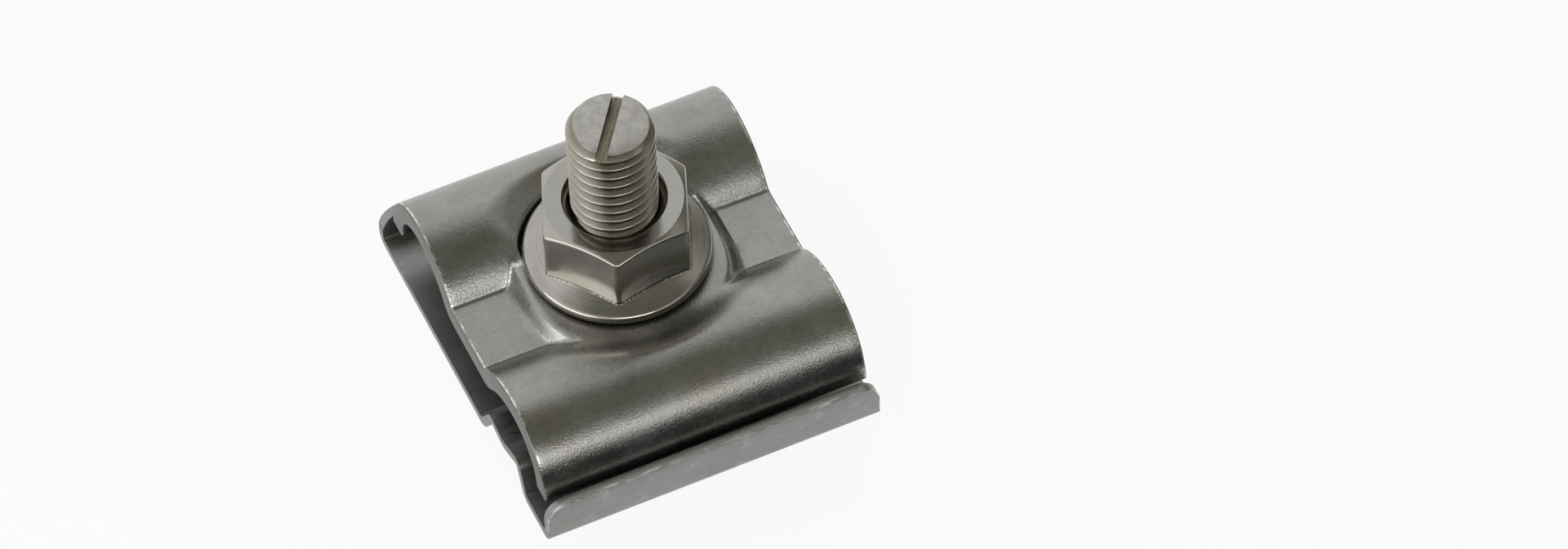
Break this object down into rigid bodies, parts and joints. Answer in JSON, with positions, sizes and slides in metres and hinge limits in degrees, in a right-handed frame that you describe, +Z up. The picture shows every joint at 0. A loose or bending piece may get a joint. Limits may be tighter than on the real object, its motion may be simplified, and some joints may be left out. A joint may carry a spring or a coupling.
{
  "type": "earthing clamp",
  "caption": "Stainless earthing clamp: a folded base and a pressed clamping plate with a rod lobe and a cable lobe, drawn together by a hammer head bolt and a flange nut.",
  "frame": {"origin": "on the bolt's axis, at the flat end of its hammer head, on which the clamp stands", "axes": "+Z up the bolt towards its slotted end, X along the two conductors, +Y towards the rod's side, -Y towards the cable's side"},
  "size_m": [0.04, 0.0478, 0.0409],
  "materials": {
    "sheet_steel": "satin cold-rolled sheet",
    "pressed_steel": "satin pressed sheet",
    "bolt_steel": "satin",
    "nut_steel": "bright turned"
  },
  "bodies": {
    "base": {"base_plate": "sheet_steel"},
    "plate": {"clamping_plate": "pressed_steel"},
    "bolt": {"t_bolt": "bolt_steel"},
    "nut": {"flange_nut": "nut_steel"}
  },
  "joints": [
    {"name": "bolt_turn", "type": "hinge", "parent": "base", "child": "bolt", "pos_m": [0, 0, 0], "axis": [0, 0, 1], "continuous": true},
    {"name": "plate_lift", "type": "slide", "parent": "base", "child": "plate", "axis": [0, 0, 1], "range_m": [-0.0036, 0.012]},
    {"name": "nut_turn", "type": "hinge", "parent": "plate", "child": "nut", "pos_m": [0, 0, 0.0186], "axis": [0, 0, 1], "range_deg": [-866, 2882]}
  ],
  "couplings": [
    {"joint": "nut_turn", "follows": "plate_lift", "rad_per_m": 4188.8}
  ]
}
